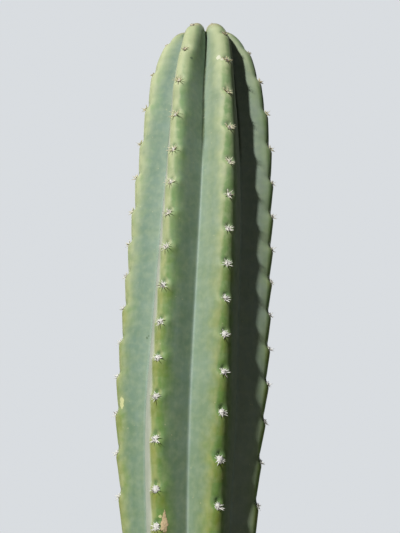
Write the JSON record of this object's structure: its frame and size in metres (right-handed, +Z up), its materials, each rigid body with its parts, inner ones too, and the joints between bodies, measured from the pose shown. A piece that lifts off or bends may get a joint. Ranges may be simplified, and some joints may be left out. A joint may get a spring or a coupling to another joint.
{
  "type": "san pedro cactus",
  "caption": "Upright columnar cactus: one ribbed stem with areoles of pale felt and short spines down each rib, flat at ground level where it is rooted.",
  "frame": {"origin": "centre of the stem's flat cut at ground level", "axes": "+Z straight up out of the ground, -Y towards the viewer of the picture's side, +X to that viewer's right"},
  "size_m": [0.144, 0.1297, 1.8871],
  "materials": {
    "stem_skin": "waxy satin skin, blue-green on the flanks and yellow-green along the ribs' crests",
    "areole_felt": "matte cream felt with pale spines"
  },
  "bodies": {
    "root": {"stem": "stem_skin", "areole_rib1_tier1": "areole_felt", "areole_rib1_tier2": "areole_felt", "areole_rib1_tier3": "areole_felt", "areole_rib1_tier4": "areole_felt", "areole_rib1_tier5": "areole_felt", "areole_rib1_tier6": "areole_felt", "areole_rib1_tier7": "areole_felt", "areole_rib1_tier8": "areole_felt", "areole_rib2_tier1": "areole_felt", "areole_rib2_tier2": "areole_felt", "areole_rib2_tier3": "areole_felt", "areole_rib2_tier4": "areole_felt", "areole_rib2_tier5": "areole_felt", "areole_rib2_tier6": "areole_felt", "areole_rib2_tier7": "areole_felt", "areole_rib2_tier8": "areole_felt", "areole_rib3_tier1": "areole_felt", "areole_rib3_tier2": "areole_felt", "areole_rib3_tier3": "areole_felt", "areole_rib3_tier4": "areole_felt", "areole_rib3_tier5": "areole_felt", "areole_rib3_tier6": "areole_felt", "areole_rib3_tier7": "areole_felt", "areole_rib3_tier8": "areole_felt", "areole_rib4_tier1": "areole_felt", "areole_rib4_tier2": "areole_felt", "areole_rib4_tier3": "areole_felt", "areole_rib4_tier4": "areole_felt", "areole_rib4_tier5": "areole_felt", "areole_rib4_tier6": "areole_felt", "areole_rib4_tier7": "areole_felt", "areole_rib4_tier8": "areole_felt", "areole_rib5_tier1": "areole_felt", "areole_rib5_tier2": "areole_felt", "areole_rib5_tier3": "areole_felt", "areole_rib5_tier4": "areole_felt", "areole_rib5_tier5": "areole_felt", "areole_rib5_tier6": "areole_felt", "areole_rib5_tier7": "areole_felt", "areole_rib5_tier8": "areole_felt", "areole_rib6_tier1": "areole_felt", "areole_rib6_tier2": "areole_felt", "areole_rib6_tier3": "areole_felt", "areole_rib6_tier4": "areole_felt", "areole_rib6_tier5": "areole_felt", "areole_rib6_tier6": "areole_felt", "areole_rib6_tier7": "areole_felt", "areole_rib6_tier8": "areole_felt", "areole_rib7_tier1": "areole_felt", "areole_rib7_tier2": "areole_felt", "areole_rib7_tier3": "areole_felt", "areole_rib7_tier4": "areole_felt", "areole_rib7_tier5": "areole_felt", "areole_rib7_tier6": "areole_felt", "areole_rib7_tier7": "areole_felt", "areole_rib7_tier8": "areole_felt"}
  },
  "joints": []
}
